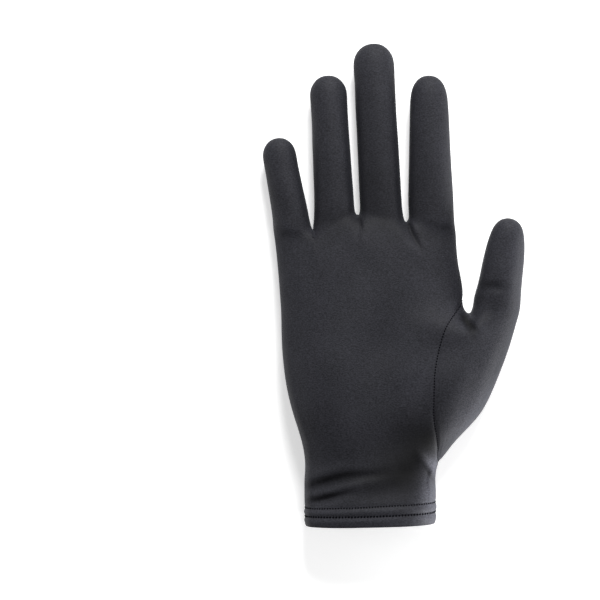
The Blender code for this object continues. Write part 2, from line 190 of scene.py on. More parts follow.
def fullness(across, power):
    """The height of a closed section at a place across it, 0 at its edges and 1 in its middle."""
    outer, inner = power
    return max(0.0, 1.0 - abs(across) ** outer) ** (1.0 / inner)


class Cage:
    """Named points of the cage, and its faces with the panel that each belongs to."""

    def __init__(self):
        self.index = {}
        self.points = []
        self.faces = []
        self.panels = []

    def point(self, key, place):
        self.index[key] = len(self.points)
        self.points.append(place)

    def face(self, keys, panel):
        self.faces.append([self.index[key] for key in keys])
        self.panels.append(panel)

    def strip(self, upper, lower, side, panel):
        """Quads, or triangles where a row ends in one point, between two rows of named points."""
        for step in range(max(len(upper), len(lower)) - 1):
            corners = [
                upper[min(step, len(upper) - 1)],
                upper[min(step + 1, len(upper) - 1)],
                lower[min(step + 1, len(lower) - 1)],
                lower[min(step, len(lower) - 1)],
            ]
            keys = [key for place, key in enumerate(corners) if key != corners[place - 1]]
            self.face(keys if side < 0 else keys[::-1], panel)


def column_shares():
    """Where each palm column lies between the palm's edges at the knuckles, and how high."""
    first, last = FINGERS[0].left, FINGERS[-1].right
    shares, heights = [], []
    for finger in FINGERS:
        for inner in (0.0, RING_SHARE, 1 - RING_SHARE, 1.0):
            across = blend(finger.left, finger.right, inner)
            shares.append((across - first) / (last - first))
            heights.append(blend(finger.low, finger.high, inner) - 1.0)
    return shares, heights


def even_share(column):
    """Where a palm column lies further down, where the columns are even but for the edges."""
    share = column / (COLUMNS - 1)
    return share - EDGE_CROWDING_SHARE * math.sin(2 * math.pi * share) / (2 * math.pi)


def row_key(row, column, side):
    """An edge point belongs to both sides. The thumb's panel moves the edge outwards."""
    has_thumb = CROTCH_ROW < row < WRIST_ROW
    edge = ALL_COLUMNS - 1 if has_thumb else COLUMNS - 1
    return ("body", row, column, 0 if column in (0, edge) else side)


def add_section(cage, row, places, left, right, depth):
    """Adds one section of the body: places are (column, x, y), and the depth follows from x."""
    centre, half = (left + right) / 2, (right - left) / 2
    for column, x, y in places:
        across = min(1.0, max(-1.0, (x - centre) / half))
        front = depth * (1 - MID_SHARE) * fullness(across, FRONT_FULLNESS)
        back = (depth * MID_SHARE + FLATTENING) * fullness(across, BACK_FULLNESS)
        for side, height in ((1, front), (-1, -back)):
            key = row_key(row, column, side)
            if key not in cage.index:
                rise = height if key[3] else 0.0
                cage.point(key, (x, y, depth * MID_SHARE + rise))


def add_palm(cage):
    shares, heights = column_shares()
    for number, row in enumerate(PALM_ROWS):
        left = row.left * PALM_WIDTH
        right = row.right * PALM_WIDTH
        stop = right if row.seam is None else row.seam * PALM_WIDTH
        places = []
        for column in range(COLUMNS):
            share = blend(even_share(column), shares[column], row.spread)
            height = (row.along + heights[column] * row.spread) * PALM_LENGTH
            places.append((column, blend(left, stop, share), height))
        if row.seam is not None:
            first = number == CROTCH_ROW + 1
            spacing = THUMB_COLUMNS_HIGH if first else THUMB_COLUMNS_LOW
            for step, share in enumerate(spacing[1:], 1):
                height = row.along + (CROTCH_DIPS[step] if first else 0.0)
                x = blend(stop, right, share)
                places.append((COLUMNS - 1 + step, x, height * PALM_LENGTH))
        add_section(cage, number, places, left, right, row.depth * PALM_DEPTH)


def hem_place(across, down):
    """How far below the wrist a share of the way down the hem lies, from -1 to 1 across it."""
    top = CUFF_LENGTH - HEM_SLANT * across
    return blend(top, CUFF_LENGTH + HEM_HEIGHT - EDGE_SLANT * across, down)


def cuff_height(number, across):
    """The height of one of the sections below the wrist, at a place across the cuff."""
    if number < len(CUFF_ROWS):
        return -CUFF_ROWS[number].down * hem_place(across, 0.0)
    return -hem_place(across, HEM_ROWS[number - len(CUFF_ROWS)].down)


def add_cuff(cage):
    centre = CUFF_OFFSET_SHARE * PALM_WIDTH
    for number, row in enumerate(CUFF_ROWS + HEM_ROWS):
        half = row.width * CUFF_WIDTH / 2
        places = []
        for column in range(COLUMNS):
            across = 2 * even_share(column) - 1
            places.append((column, centre + across * half, cuff_height(number, across)))
        depth = row.depth * CUFF_DEPTH
        add_section(cage, WRIST_ROW + 1 + number, places, centre - half, centre + half, depth)


def add_ring(cage, name, row, left, right, middle, half_depth):
    """A finger's section: both sides at mid depth, two points on its front and two on its back."""
    near, far = RING_SHARE, 1 - RING_SHARE
    sides = ((0.0, 0), (near, 1), (far, 1), (1.0, 0), (far, -1), (near, -1))
    for step, (share, side) in enumerate(sides):
        x, y = blend(left[0], right[0], share), blend(left[1], right[1], share)
        rise = side * math.sqrt(1 - (far - near) ** 2) * half_depth
        cage.point((name, row, step), (x, y, middle + rise))


def add_finger(cage, finger, length, width, depth, root_middle, root_depth):
    """Adds the sections of one finger, from its root to its tip, and returns their number."""
    left = np.array((finger.left * PALM_WIDTH, finger.low * PALM_LENGTH))
    right = np.array((finger.right * PALM_WIDTH, finger.high * PALM_LENGTH))
    root = (left + right) / 2
    tip = np.array((finger.tip * PALM_WIDTH, root[1] + finger.length * length))
    axis = tip - root
    reach = np.linalg.norm(axis)
    axis = axis / reach
    across = np.array((axis[1], -axis[0]))
    top_width = finger.top * width
    lifted = finger.lift * depth
    full_depth = finger.depth * depth

    add_ring(cage, finger.name, 0, left, right, root_middle, root_depth / 2)
    first = NECK_SHARE * width
    straight = reach - END_ROWS[0].back * top_width
    sections = []
    for step in range(finger.shaft + 1):
        share = step / (finger.shaft + 1)
        size = blend(finger.neck * width, top_width, share)
        sections.append((blend(first, straight, share), size, 1.0))
    for row in END_ROWS:
        size = blend(top_width, finger.end * width, row.end) * row.width
        sections.append((reach - row.back * top_width, size, row.depth))
    for number, (distance, size, depth_share) in enumerate(sections, 1):
        share = distance / reach
        centre = root + axis * distance
        middle = blend(root_middle, lifted + full_depth / 2 * END_ROWS[1].depth, share)
        half = blend(root_depth, full_depth, share) * depth_share / 2
        ends = (centre - across * size / 2, centre + across * size / 2)
        add_ring(cage, finger.name, number, *ends, middle, half)
    cage.point((finger.name, "tip"), (tip[0], tip[1], middle))
    return len(sections)


def ring_side(name, row, side):
    """A finger's section from its left to its right side, over its front or its back."""
    return [(name, row, step) for step in ((0, 1, 2, 3) if side > 0 else (0, 5, 4, 3))]


def join_finger(cage, name, sections, panels):
    for side, panel in ((1, panels[0]), (-1, panels[1])):
        for row in range(sections):
            upper, lower = ring_side(name, row + 1, side), ring_side(name, row, side)
            cage.strip(upper, lower, side, panel)
        cage.strip([(name, "tip")], ring_side(name, sections, side), side, panel)


def join_body(cage):
    """The faces of the palm, the back, the thumb's base and the cuff."""
    rows = WRIST_ROW + 1 + len(CUFF_ROWS) + len(HEM_ROWS)
    hem_row = WRIST_ROW + len(CUFF_ROWS)
    for side, cloth in ((1, PALM), (-1, BACK)):
        for row in range(rows - 1):
            panel = HEM if row >= hem_row else cloth
            upper = [row_key(row, column, side) for column in range(COLUMNS)]
            lower = [row_key(row + 1, column, side) for column in range(COLUMNS)]
            cage.strip(upper, lower, side, panel)
        for row in range(CROTCH_ROW + 1, WRIST_ROW):
            upper = [row_key(row, column, side) for column in range(COLUMNS - 1, ALL_COLUMNS)]
            lower = [row_key(row + 1, column, side) for column in range(COLUMNS - 1, ALL_COLUMNS)]
            if row == WRIST_ROW - 1:
                lower = lower[:1]
            cage.strip(upper, lower, side, THUMB)


def join_roots(cage):
    """The faces between the fingers' roots and the knuckles, and those of the thumb's crotch."""
    for side, cloth in ((1, PALM), (-1, BACK)):
        upper = [key for finger in FINGERS for key in ring_side(finger.name, 0, side)]
        lower = [row_key(0, column, side) for column in range(COLUMNS)]
        cage.strip(upper, lower, side, cloth)
        crotch = [row_key(CROTCH_ROW, COLUMNS - 1, side), ("crotch",)]
        upper = crotch + ring_side(THUMB_FINGER.name, 0, side)
        lower = [
            row_key(CROTCH_ROW + 1, column, side) for column in range(COLUMNS - 1, ALL_COLUMNS)
        ]
        cage.strip(upper, lower, side, THUMB)


def build_cage():
    cage = Cage()
    add_palm(cage)
    add_cuff(cage)
    knuckle_depth = PALM_ROWS[0].depth * PALM_DEPTH
    counts = {}
    for finger in FINGERS:
        counts[finger.name] = add_finger(
            cage,
            finger,
            FINGER_LENGTH,
            FINGER_WIDTH,
            FINGER_DEPTH,
            knuckle_depth * MID_SHARE,
            blend(FINGER_DEPTH, knuckle_depth, ROOT_DEPTH_SHARE),
        )
    crotch_depth = PALM_ROWS[CROTCH_ROW].depth * PALM_DEPTH
    counts[THUMB_FINGER.name] = add_finger(
        cage,
        THUMB_FINGER,
        THUMB_LENGTH,
        THUMB_WIDTH,
        THUMB_DEPTH,
        crotch_depth * MID_SHARE,
        blend(THUMB_DEPTH, crotch_depth, ROOT_DEPTH_SHARE),
    )
    across, along = THUMB_CROTCH
    place = (across * PALM_WIDTH, along * PALM_LENGTH, crotch_depth * MID_SHARE)
    cage.point(("crotch",), place)
    join_body(cage)
    join_roots(cage)
    for finger in FINGERS:
        join_finger(cage, finger.name, counts[finger.name], (PALM, BACK))
    join_finger(cage, THUMB_FINGER.name, counts[THUMB_FINGER.name], (THUMB, THUMB))
    return cage


def smoothed_mesh(form):
    return bpy.data.meshes.new_from_object(
        form.evaluated_get(bpy.context.evaluated_depsgraph_get())
    )


def smooth_form(cage):
    """The smooth surface through the cage's points, as a mesh whose materials are the panels."""
    mesh = bpy.data.meshes.new("form")
    mesh.from_pydata(cage.points, [], cage.faces)
    for panel in PANELS:
        mesh.materials.append(bpy.data.materials.new(panel.name + "_form"))
    mesh.polygons.foreach_set("material_index", cage.panels)
    form = bpy.data.objects.new("form", mesh)
    bpy.context.scene.collection.objects.link(form)
    smoothing = form.modifiers.new("smoothing", "SUBSURF")
    smoothing.levels = SMOOTHING_LEVELS
    smoothing.render_levels = SMOOTHING_LEVELS
    smoothing.use_limit_surface = True

    wanted = np.array(cage.points)
    corners = wanted.copy()
    for _ in range(FITTING_ROUNDS):
        made = smoothed_mesh(form)
        reached = points_of(made)[: len(wanted)]
        bpy.data.meshes.remove(made)
        corners += wanted - reached
        move_points(mesh, corners)
    smoothing.levels = FINE_LEVELS
    smoothing.render_levels = FINE_LEVELS
    made = smoothed_mesh(form)
    bpy.data.objects.remove(form)
    return made


def points_of(mesh):
    places = np.empty(len(mesh.vertices) * 3)
    mesh.vertices.foreach_get("co", places)
    return places.reshape(-1, 3)


def move_points(mesh, places):
    mesh.vertices.foreach_set("co", places.ravel())
    mesh.update()


def normals_of(mesh):
    normals = np.empty(len(mesh.vertices) * 3)
    mesh.vertices.foreach_get("normal", normals)
    return normals.reshape(-1, 3)


def fold_cloth(mesh):
    """Raises the mounds, sinks the dents, puffs the hem and flattens what rests on the floor."""
    places, normals = points_of(mesh), normals_of(mesh)
    rise = np.zeros(len(places))
    for fold in FOLDS:
        turn = math.radians(fold.turn)
        x = places[:, 0] - fold.across * PALM_WIDTH
        y = places[:, 1] - fold.along * PALM_LENGTH
        run = (x * math.cos(turn) + y * math.sin(turn)) / (fold.long * PALM_WIDTH)
        side = (y * math.cos(turn) - x * math.sin(turn)) / (fold.wide * PALM_WIDTH)
        facing = np.clip(fold.side * normals[:, 2], 0, 1)
        rise += fold.rise * PALM_DEPTH * facing * np.exp(-FADING * (run**2 + side**2))
    across = (places[:, 0] - CUFF_OFFSET_SHARE * PALM_WIDTH) / (CUFF_WIDTH / 2)
    top, bottom = hem_place(across, 0.0), hem_place(across, 1.0)
    down = np.clip((-places[:, 1] - top) / (bottom - top), 0, 1)
    rise += HEM_PUFF * np.sin(2 * math.pi * down) ** 2
    places += normals * rise[:, None]
    places[:, 2] = np.maximum(places[:, 2], 0.0)
    move_points(mesh, places)


def centre_form(mesh):
    """Puts the middle of the glove's outline at the origin."""
    places = points_of(mesh)
    middle = (places.min(axis=0) + places.max(axis=0)) / 2
    places[:, :2] -= middle[:2]
    move_points(mesh, places)
    return Vector((middle[0], middle[1], 0.0))


# Creases of the cloth, in millimetres in the object's frame. side is 1 on the palm and -1 on the
# back, path is where the crease runs, wide is half its width, deep is how far it sinks, lip is how
# far the cloth beside it rises and shade is how much painted shade darkens its bottom, as a share
# of the cloth's colour. A ridge has a negative depth.
Crease = namedtuple("Crease", "name side path wide deep lip shade")
CREASES = (
    Crease("thumb crotch", 1, ((33.0, -15.4), (36.6, -19.6), (40.4, -24.4)), 1.4, 1.0, 0.0, 1.10),
    Crease(
        "thumb crotch line", 1, ((33.6, -16.4), (36.0, -22.4), (40.4, -28.8)), 0.9, 0.4, 0.0, 0.70
    ),
    Crease("seam start", 1, ((23.6, -10.4), (27.3, -7.9), (32.5, -6.8)), 0.9, 0.3, 0.0, 0.15),
    Crease("thumb joint", 1, ((42.0, -1.6), (47.7, -2.0), (60.0, -2.4)), 1.8, 0.25, 0.2, 0.15),
    Crease("ring crotch", 1, ((-17.0, 38.0), (-16.6, 31.0), (-16.0, 24.0)), 0.9, 0.45, 0.0, 0.45),
    Crease(
        "index crotch",
        1,
        ((6.4, 36.0), (7.4, 29.2), (9.6, 23.4), (14.0, 15.4)),
        1.0,
        0.9,
        0.1,
        0.50,
    ),
    Crease(
        "high crescent",
        1,
        ((-44.0, -101.4), (-34.0, -97.7), (-23.7, -95.0), (-6.0, -93.6)),
        2.2,
        1.4,
        0.35,
        0.50,
    ),
    Crease("low crescent", 1, ((-43, -108), (-34.5, -106), (-20, -102)), 1.5, 1.1, 0.35, 0.40),
    Crease("below the wedge", 1, ((13.5, -88.5), (16.6, -93), (20, -98.6)), 1.1, 0.5, 0.0, 0.70),
    Crease("neck ridge", 1, ((11.0, -84.0), (16.0, -90.0), (21.0, -97.0)), 2.2, -0.7, 0.0, 0.0),
)
CREASE_STEPS = 30
CREASE_FADE = 0.7
CREASE_FACING = 1.6
LIP_OFFSET = 2.1

# Spots of painted light and shade, in millimetres, where the cloth's colour is painted darker or
# lighter for the way the lamps light it: turn is in degrees, long and wide are half sizes, and the
# last column, the painted light, is added to the 1 of plain cloth.
PaintedSpot = namedtuple("PaintedSpot", "name side x y turn long wide tone")
PAINTED_SPOTS = (
    PaintedSpot("heel beside the thumb seam", 1, 12.0, -77.0, 80, 17, 15, -0.78),
    PaintedSpot("wrist", 1, 3.0, -96.0, 4, 27, 11, -0.70),
    PaintedSpot("wedge beside the wrist", 1, 20.8, -91.2, -50, 7.5, 2.8, 1.90),
    PaintedSpot("side of the cuff", 1, 21.0, -106.5, 90, 19, 8, 2.05),
    PaintedSpot("hem", 1, -22.0, -116.0, 0, 32, 5, 0.38),
    PaintedSpot("web beside the ring finger", 1, -24.0, 30.5, 0, 9, 5, -0.20),
    PaintedSpot("web beside the middle finger", 1, -3.5, 29.0, -15, 11, 5, -0.22),
    PaintedSpot("web beside the little finger", 1, -43.5, 23.5, -35, 8, 3.5, -0.20),
    PaintedSpot("web beside the index finger", 1, 14.0, 24.5, -40, 8, 5, -0.17),
    PaintedSpot("roots of the fingers", 1, -8.0, 38.0, 5, 48, 20, -0.22),
    PaintedSpot("little fingertip", 1, -57.0, 68.0, 0, 12, 12, 0.02),
    PaintedSpot("ring fingertip", 1, -31.0, 98.0, 0, 12, 12, 0.02),
    PaintedSpot("middle fingertip", 1, -10.0, 114.0, 0, 12, 14, 0.04),
    PaintedSpot("index fingertip", 1, 18.0, 98.0, 0, 12, 12, 0.09),
    PaintedSpot("ball of the thumb", 1, 44.0, -20.0, 70, 26, 12, 0.06),
    PaintedSpot("root of the thumb", 1, 44.5, -17.0, 0, 5, 4, -0.20),
    PaintedSpot("web below the crotch of the thumb", 1, 32.0, -24.0, -40, 9, 4, -0.14),
    PaintedSpot("outer root of the little finger", 1, -53.0, 25.5, 0, 8, 3, 0.30),
    PaintedSpot("outer root of the index finger", 1, 22.0, 29.0, 0, 8, 3, 0.25),
    PaintedSpot("beside the end of the thumb seam", 1, 17.0, -80.0, 80, 9, 5, -0.36),
    PaintedSpot("left of the thumb seam", 1, 11.0, -53.0, 90, 20, 8, 0.34),
    PaintedSpot("lower edge of the ball of the thumb", 1, 37.0, -67.0, 52, 22, 6, 0.80),
    PaintedSpot("outer edge of the thumb", 1, 62.0, -12.0, 84, 28, 5, 0.30),
    PaintedSpot("tip of the thumb", 1, 55.5, 22.0, 0, 12, 14, 0.32),
    PaintedSpot("shaft of the middle finger", 1, -7.5, 58.0, 90, 22, 12, -0.18),
)

# SPOT_FACING is how strongly a painted spot keeps to cloth facing up, and the range after it bounds
# the factor of painted light and shade.
SPOT_FACING = 1.5
PAINTED_SHADING_RANGE = (0.08, 3.20)

# The cloth's finer shape, in metres. UNEVEN has the scale and the height of each noise.
FINE_LEVELS = 3
GROOVE_DEPTH = 0.00024
GROOVE_WIDTH = 0.0011
UNEVEN = ((26.0, 0.00035), (70.0, 0.00014))
HEM_BULGE = 0.0009
HEM_EDGE_STEPS = 4
HEM_LINE_STEPS = 360

# Stitches, in metres: pitch is from one to the next, long and thick are one stitch's own size, and
# slant is how far it turns from the seam, in degrees. STITCH_HEIGHT is a share of its thickness.
Stitching = namedtuple("Stitching", "name pitch long thick slant")
THUMB_STITCHING = Stitching("thumb_stitches", 0.00140, 0.00100, 0.00068, 0)
HIGH_STITCHING = Stitching("hem_stitches_high", 0.00140, 0.00080, 0.00090, 0)
LOW_STITCHING = Stitching("hem_stitches_low", 0.00155, 0.00115, 0.00105, 35)
STITCH_SIDES = 8
STITCH_HEIGHT = 0.5
STITCH_RINGS = 5
STITCH_ENDS = 0.7
STITCH_LIFT = 0.00005


def smooth_path(path, steps):
    """Points along a smooth curve through the path's points, in metres."""
    knots = np.array(path, float) / 1000
    ends = np.vstack((2 * knots[0] - knots[1], knots, 2 * knots[-1] - knots[-2]))
    made = []
    for place in np.linspace(0, len(knots) - 1 - 1e-9, steps):
        step, t = int(place), place - int(place)
        a, b, c, d = ends[step : step + 4]
        bend = (2 * a - 5 * b + 4 * c - d) * t**2 + (3 * b - a - 3 * c + d) * t**3
        made.append(b + 0.5 * ((c - a) * t + bend))
    return np.array(made)


def crease_rise(places, normals, crease):
    """How far one crease moves each point of the cloth along its normal."""
    path = smooth_path(crease.path, CREASE_STEPS)
    away = np.linalg.norm(places[:, None, :2] - path[None], axis=2)
    nearest = away.argmin(axis=1)
    off = away.min(axis=1) / (crease.wide / 1000)
    along = np.clip((nearest + 1) / (CREASE_STEPS + 1), 0, 1)
    fade = np.sin(math.pi * along) ** CREASE_FADE
    facing = np.clip(crease.side * normals[:, 2] * CREASE_FACING, 0, 1)
    lip = crease.lip * np.exp(-((off - LIP_OFFSET) ** 2))
    shape = -crease.deep * np.exp(-(off**2)) + lip
    return shape / 1000 * fade * facing


def crease_painted_shade(places, normals, crease):
    """How much painted shade takes from the cloth's colour inside one crease, as a share."""
    deep = -crease_rise(places, normals, crease._replace(lip=0.0)) * 1000
    return crease.shade * deep / crease.deep


def painted_light_and_shade(form):
    """Painted light and shade at each point, as a factor on the cloth's colour: 1 where it is
    plain.
    """
    places, normals = points_of(form), normals_of(form)
    painted_shading = np.ones(len(places))
    for spot in PAINTED_SPOTS:
        turn = math.radians(spot.turn)
        x, y = places[:, 0] * 1000 - spot.x, places[:, 1] * 1000 - spot.y
        run = (x * math.cos(turn) + y * math.sin(turn)) / spot.long
        side = (y * math.cos(turn) - x * math.sin(turn)) / spot.wide
        facing = np.clip(spot.side * normals[:, 2] * SPOT_FACING, 0, 1)
        painted_shading += spot.tone * facing * np.exp(-(run**2 + side**2))
    for crease in CREASES:
        painted_shading *= 1 - crease_painted_shade(places, normals, crease)
    return np.clip(painted_shading, *PAINTED_SHADING_RANGE)


def seam_line(form, first, second, side):
    """The points of the seam between two panels on one side of the glove, in order."""
    users = {}
    for face in form.polygons:
        for pair in face.edge_keys:
            users.setdefault(pair, []).append(face)
    joined = {}
    for pair, faces in users.items():
        panels = {face.material_index for face in faces}
        if panels == {first, second} and sum(face.normal.z for face in faces) * side > 0:
            for start, end in (pair, pair[::-1]):
                joined.setdefault(start, []).append(end)
    place = min(joined, key=lambda vertex: (len(joined[vertex]), -form.vertices[vertex].co.y))
    line, past = [place], None
    while True:
        onward = [end for end in joined[line[-1]] if end != past and end not in line[:1]]
        if not onward:
            break
        past = line[-1]
        line.append(onward[0])
    return [form.vertices[vertex].co.copy() for vertex in line]


def hem_line(tree, share, middle):
    """Points round the cuff, at a share of the way down its hem, on the form's surface."""
    centre = CUFF_OFFSET_SHARE * PALM_WIDTH
    line = []
    for turn in np.linspace(0, 2 * math.pi, HEM_LINE_STEPS + 1)[:-1]:
        across = math.cos(turn)
        y = -hem_place(across, share)
        start = Vector((centre, y, CUFF_DEPTH / 2)) - middle
        out = Vector((across * CUFF_WIDTH, 0, math.sin(turn) * CUFF_DEPTH)).normalized()
        line.append(tree.ray_cast(start, out)[0])
    return line


def surface_tree(form):
    places = [vertex.co.copy() for vertex in form.vertices]
    return BVHTree.FromPolygons(places, [list(face.vertices) for face in form.polygons])


def shape_cloth(form):
    """Creases and unevenness, on the fine form."""
    places, normals = points_of(form), normals_of(form)
    rise = np.zeros(len(places))
    for crease in CREASES:
        rise += crease_rise(places, normals, crease)
    for index, place in enumerate(places):
        for scale, high in UNEVEN:
            rise[index] += noise.noise(Vector(place) * scale) * high
    places += normals * rise[:, None]
    places[:, 2] = np.maximum(places[:, 2], 0.0)
    move_points(form, places)


def sink_seams(form, lines):
    """Pulls the cloth in along its seams, as their thread does."""
    points = [point for line in lines for point in line]
    tree = KDTree(len(points))
    for index, point in enumerate(points):
        tree.insert(point, index)
    tree.balance()
    places, normals = points_of(form), normals_of(form)
    off = np.array([tree.find(Vector(place))[2] for place in places])
    places -= normals * (GROOVE_DEPTH * np.exp(-((off / GROOVE_WIDTH) ** 2)))[:, None]
    places[:, 2] = np.maximum(places[:, 2], 0.0)
    move_points(form, places)


def add_layers(mesh, form, faces, wall):
    """The panel's outer and inner points, by their numbers in the form, with the faces of both."""
    layers = []
    for depth in (0.0, wall):
        layer = {}
        for vertex in sorted({vertex for face in faces for vertex in face.vertices}):
            source = form.vertices[vertex]
            place = source.co - source.normal * depth
            place.z = max(place.z, depth)
            layer[vertex] = mesh.verts.new(place)
        layers.append(layer)
    outer, inner = layers
    for face in faces:
        mesh.faces.new([outer[vertex] for vertex in face.vertices])
        mesh.faces.new([inner[vertex] for vertex in reversed(face.vertices)])
    return layers


def add_rounds(mesh, form, outer, inner):
    """Half rounds of points from outside to inside, at each point of the glove's open edge."""
    users = {}
    for face in form.polygons:
        for pair in face.edge_keys:
            users[pair] = users.get(pair, 0) + 1
    open_edge = {vertex for pair, count in users.items() if count == 1 for vertex in pair}
    rounds = {}
    for vertex in open_edge & set(outer):
        top, bottom = outer[vertex].co, inner[vertex].co
        made = [outer[vertex]]
        for step in range(1, HEM_EDGE_STEPS):
            turn = math.pi * step / HEM_EDGE_STEPS
            place = top.lerp(bottom, (1 - math.cos(turn)) / 2)
            made.append(mesh.verts.new(place - Vector((0, HEM_BULGE * math.sin(turn), 0))))
        rounds[vertex] = made + [inner[vertex]]
    return rounds


def close_rim(mesh, outer, inner, rounds):
    """The faces that join both layers: flat along a seam and rounded along the open edge."""
    number_of = {mesh_vertex: vertex for vertex, mesh_vertex in inner.items()}
    for edge in [edge for edge in mesh.edges if edge.is_boundary]:
        loop = edge.link_loops[0]
        start, end = loop.vert, loop.link_loop_next.vert
        if start not in number_of:
            continue
        first, last = number_of[start], number_of[end]
        if first in rounds and last in rounds:
            for step in range(HEM_EDGE_STEPS):
                a, b = rounds[first][step : step + 2]
                c, d = rounds[last][step : step + 2]
                mesh.faces.new((c, d, b, a))
        else:
            mesh.faces.new((end, start, outer[first], outer[last]))


def build_panel(form, painted_shading, number):
    """One panel of the cloth as its own closed shell, with each point's painted light and shade."""
    panel = PANELS[number]
    faces = [face for face in form.polygons if face.material_index == number]
    mesh = bmesh.new()
    layers = add_layers(mesh, form, faces, panel.wall)
    rounds = add_rounds(mesh, form, *layers)
    close_rim(mesh, *layers, rounds)
    painted_shading_of = {layer[vertex]: painted_shading[vertex] for layer in layers for vertex in layer}
    mesh.verts.index_update()
    painted_shading_values = [painted_shading_of.get(vertex, 1.0) for vertex in mesh.verts]
    data = bpy.data.meshes.new(panel.piece)
    mesh.to_mesh(data)
    mesh.free()
    # The painted light and shade goes on each point as an attribute that scales the knit's colour.
    data.attributes.new("tone", "FLOAT", "POINT").data.foreach_set("value", painted_shading_values)
    data.shade_smooth()
    data.set_sharp_from_angle(angle=math.radians(SHARP_DEGREES))
    piece = bpy.data.objects.new(panel.piece, data)
    bpy.context.scene.collection.objects.link(piece)
    return piece


def even_points(line, pitch, closed):
    """Places along a line, one pitch apart, each with the line's direction there."""
    points = np.array([tuple(point) for point in line])
    if closed:
        points = np.vstack((points, points[:1]))
    steps = np.linalg.norm(np.diff(points, axis=0), axis=1)
    along = np.concatenate(([0.0], np.cumsum(steps)))
    count = round(along[-1] / pitch)
    for number in range(count):
        want = (number + 0.5) * along[-1] / count
        step = min(np.searchsorted(along, want) - 1, len(steps) - 1)
        share = (want - along[step]) / max(steps[step], 1e-9)
        run = points[step + 1] - points[step]
        yield Vector(points[step] + run * share), Vector(run).normalized()


def stitch_points(stitching, centre, run, side, normal):
    """The points of one stitch, ring by ring. Its first and last rings are single points."""
    points = []
    for ring in range(STITCH_RINGS + 1):
        turn = math.pi * ring / STITCH_RINGS
        inside = 0 < ring < STITCH_RINGS
        size = math.sin(turn) ** STITCH_ENDS * stitching.thick / 2 if inside else 0
        reach = -math.cos(turn) * stitching.long / 2
        for step in range(STITCH_SIDES if inside else 1):
            angle = 2 * math.pi * step / STITCH_SIDES
            off = side * math.cos(angle) + normal * (STITCH_HEIGHT * math.sin(angle))
            points.append(centre + run * reach + off * size)
    return points


def stitch_faces(base):
    """The faces of one stitch whose first point has the number base."""
    rings = [[base]]
    for ring in range(1, STITCH_RINGS):
        first = base + 1 + (ring - 1) * STITCH_SIDES
        rings.append(list(range(first, first + STITCH_SIDES)))
    rings.append([base + 1 + (STITCH_RINGS - 1) * STITCH_SIDES])
    faces = []
    for low, high in zip(rings, rings[1:]):
        for step in range(STITCH_SIDES):
            after = (step + 1) % STITCH_SIDES
            corners = [
                low[step % len(low)],
                low[after % len(low)],
                high[after % len(high)],
                high[step % len(high)],
            ]
            faces.append(list(dict.fromkeys(corners)))
    return faces


def add_stitches(stitching, lines, tree, material):
    """One mesh of small rounded stitches along the lines, sitting on the cloth."""
    points, faces = [], []
    for line, closed in lines:
        for place, run in even_points(line, stitching.pitch, closed):
            found, normal = tree.find_nearest(place)[:2]
            run = (run - normal * run.dot(normal)).normalized()
            run = Matrix.Rotation(math.radians(stitching.slant), 3, normal) @ run
            faces += stitch_faces(len(points))
            centre = found + normal * STITCH_LIFT
            points += stitch_points(stitching, centre, run, normal.cross(run), normal)
    data = bpy.data.meshes.new(stitching.name)
    data.from_pydata(points, [], faces)
    data.materials.append(material)
    data.shade_smooth()
    piece = bpy.data.objects.new(stitching.name, data)
    bpy.context.scene.collection.objects.link(piece)
    return piece


# Colours of the knit and of its stitches. YARN_RANGE is where the knit's noise is dark and light.
# The stitches' near black is partly the thread's own dark colour and partly painted shade of the
# needle holes they sit in.
DARK_YARN = (0.0096, 0.0097, 0.0120)
LIGHT_YARN = (0.0275, 0.0278, 0.0342)
YARN_RANGE = (0.40, 0.82)
DARK_THREAD_WITH_HOLE_SHADE = (0.0008, 0.0008, 0.0014)
LIGHT_THREAD_WITH_HOLE_SHADE = (0.0035, 0.0035, 0.0055)


def node(tree, kind, values=(), **settings):
    made = tree.nodes.new(kind)
    for name, value in settings.items():
        setattr(made, name, value)
    for name, value in dict(values).items():
        made.inputs[name].default_value = value
    return made


def ramp_between(tree, dark, light, low=0.0, high=1.0):
    ramp = node(tree, "ShaderNodeValToRGB")
    first, last = ramp.color_ramp.elements
    first.position, first.color = low, (*dark, 1.0)
    last.position, last.color = high, (*light, 1.0)
    return ramp


